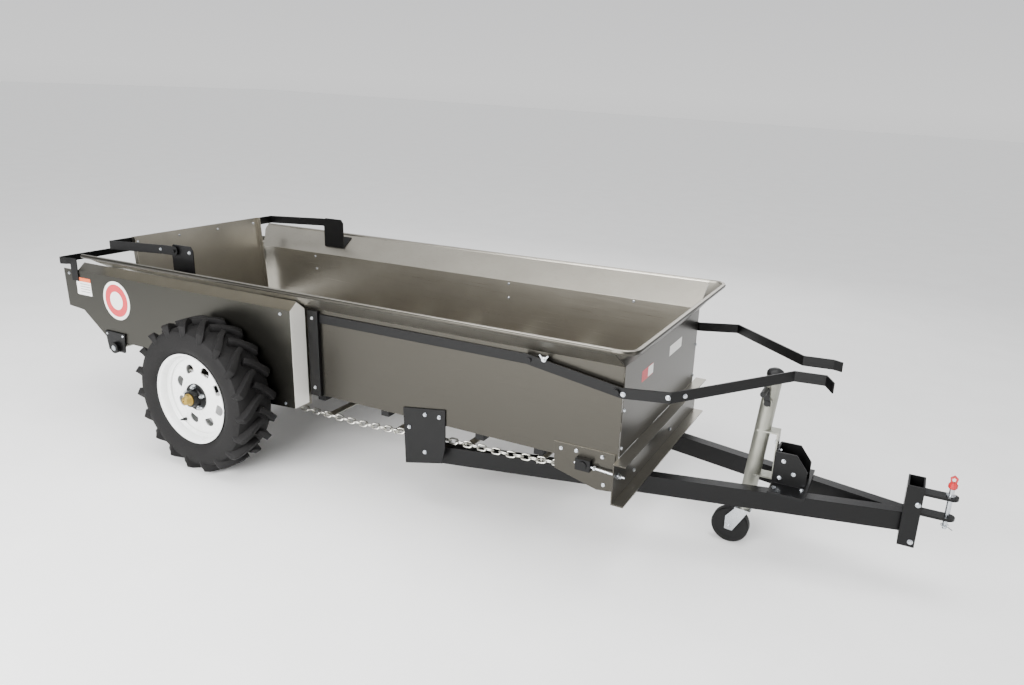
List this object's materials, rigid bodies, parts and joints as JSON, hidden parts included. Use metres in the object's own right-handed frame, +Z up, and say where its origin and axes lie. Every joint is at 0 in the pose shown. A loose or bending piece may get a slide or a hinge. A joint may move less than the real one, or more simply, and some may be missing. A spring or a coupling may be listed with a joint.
{
  "type": "manure spreader",
  "caption": "Compact towed ground-drive manure spreader with stainless box, apron chain, rear gate and beater, A-frame drawbar and swivel jack.",
  "frame": {"origin": "on the ground under the middle of the overall bounding box", "axes": "+X towards the hitch along the direction of travel, +Y to the left side, +Z up from the ground"},
  "size_m": [4.1452, 1.656, 0.9628],
  "materials": {
    "tyre_rubber": "moulded, dusty",
    "white_rim": "gloss white paint",
    "caster_tread": "satin",
    "stainless_sheet": "brushed along the length",
    "zinc_plate": "bright zinc",
    "chain_steel": "oiled steel",
    "red_grip": "gloss",
    "deck_board": "stained board",
    "black_plastic": "satin",
    "black_paint": "powder coat, satin"
  },
  "bodies": {
    "frame": {"apron_chain_return": "chain_steel", "apron_chain_top": "chain_steel", "axle_beam": "black_paint", "control_lever_left": "black_paint", "control_lever_right": "black_paint", "cross_member_1": "black_paint", "cross_member_2": "black_paint", "cross_member_3": "black_paint", "cross_member_4": "black_paint", "cross_member_5": "black_paint", "cross_member_6": "black_paint", "floor_deck": "deck_board", "frame_bracket_left": "black_paint", "frame_bracket_right": "black_paint", "front_channel": "stainless_sheet", "front_idler_shaft": "chain_steel", "front_panel": "stainless_sheet", "gate_bracket_left": "black_paint", "gate_bracket_right": "black_paint", "hitch_clevis": "black_paint", "hitch_pin": "zinc_plate", "housing_post_left": "black_paint", "housing_post_right": "black_paint", "idler_plate_left": "stainless_sheet", "idler_plate_right": "stainless_sheet", "jack_cap": "black_plastic", "jack_crank": "black_plastic", "jack_mount": "black_paint", "jack_tube": "zinc_plate", "pin_handle": "red_grip", "rear_bearing_left": "black_paint", "rear_bearing_right": "black_paint", "rear_drive_shaft": "chain_steel", "rear_guard_bar": "black_paint", "side_bar_left": "black_paint", "side_bar_right": "black_paint", "side_panel_left": "stainless_sheet", "side_panel_right": "stainless_sheet", "tensioner_left": "zinc_plate", "tensioner_right": "zinc_plate", "tongue_tube_left": "black_paint", "tongue_tube_right": "black_paint", "wheel_housing_left": "stainless_sheet", "wheel_housing_right": "stainless_sheet"},
    "wheel_right": {"tyre_right": "tyre_rubber", "rim_right": "white_rim", "hub_right": "black_paint"},
    "wheel_left": {"tyre_left": "tyre_rubber", "rim_left": "white_rim", "hub_left": "black_paint"},
    "beater": {"beater_rotor": "black_paint"},
    "rear_gate": {"gate_panel": "stainless_sheet", "gate_crossbar": "black_paint", "gate_arm_right": "black_paint", "gate_arm_left": "black_paint"},
    "jack_inner_leg": {"jack_leg": "zinc_plate"},
    "caster_swivel": {"caster_fork": "zinc_plate"},
    "caster_roller": {"caster_wheel": "caster_tread"}
  },
  "joints": [
    {"name": "wheel_right_spin", "type": "hinge", "parent": "frame", "child": "wheel_right", "pos_m": [-0.94953, -0.703, 0.35], "axis": [0, 1, 0], "continuous": true},
    {"name": "wheel_left_spin", "type": "hinge", "parent": "frame", "child": "wheel_left", "pos_m": [-0.94953, 0.703, 0.35], "axis": [0, 1, 0], "continuous": true},
    {"name": "beater_spin", "type": "hinge", "parent": "frame", "child": "beater", "pos_m": [-1.95842, 0, 0.61859], "axis": [0, 1, 0], "continuous": true},
    {"name": "gate_hinge", "type": "hinge", "parent": "frame", "child": "rear_gate", "pos_m": [-1.28288, 0, 0.93186], "axis": [0, 1, 0], "range_deg": [0, 80]},
    {"name": "jack_slide", "type": "slide", "parent": "frame", "child": "jack_inner_leg", "axis": [-0.0575, 0, -0.9983], "range_m": [-0.08, 0.2]},
    {"name": "caster_swivel_turn", "type": "hinge", "parent": "jack_inner_leg", "child": "caster_swivel", "pos_m": [1.34462, 0, 0.16702], "axis": [0.0575, 0, 0.9983], "continuous": true},
    {"name": "caster_roll", "type": "hinge", "parent": "caster_swivel", "child": "caster_roller", "pos_m": [1.30003, 0, 0.0762], "axis": [0, 1, 0], "continuous": true}
  ]
}
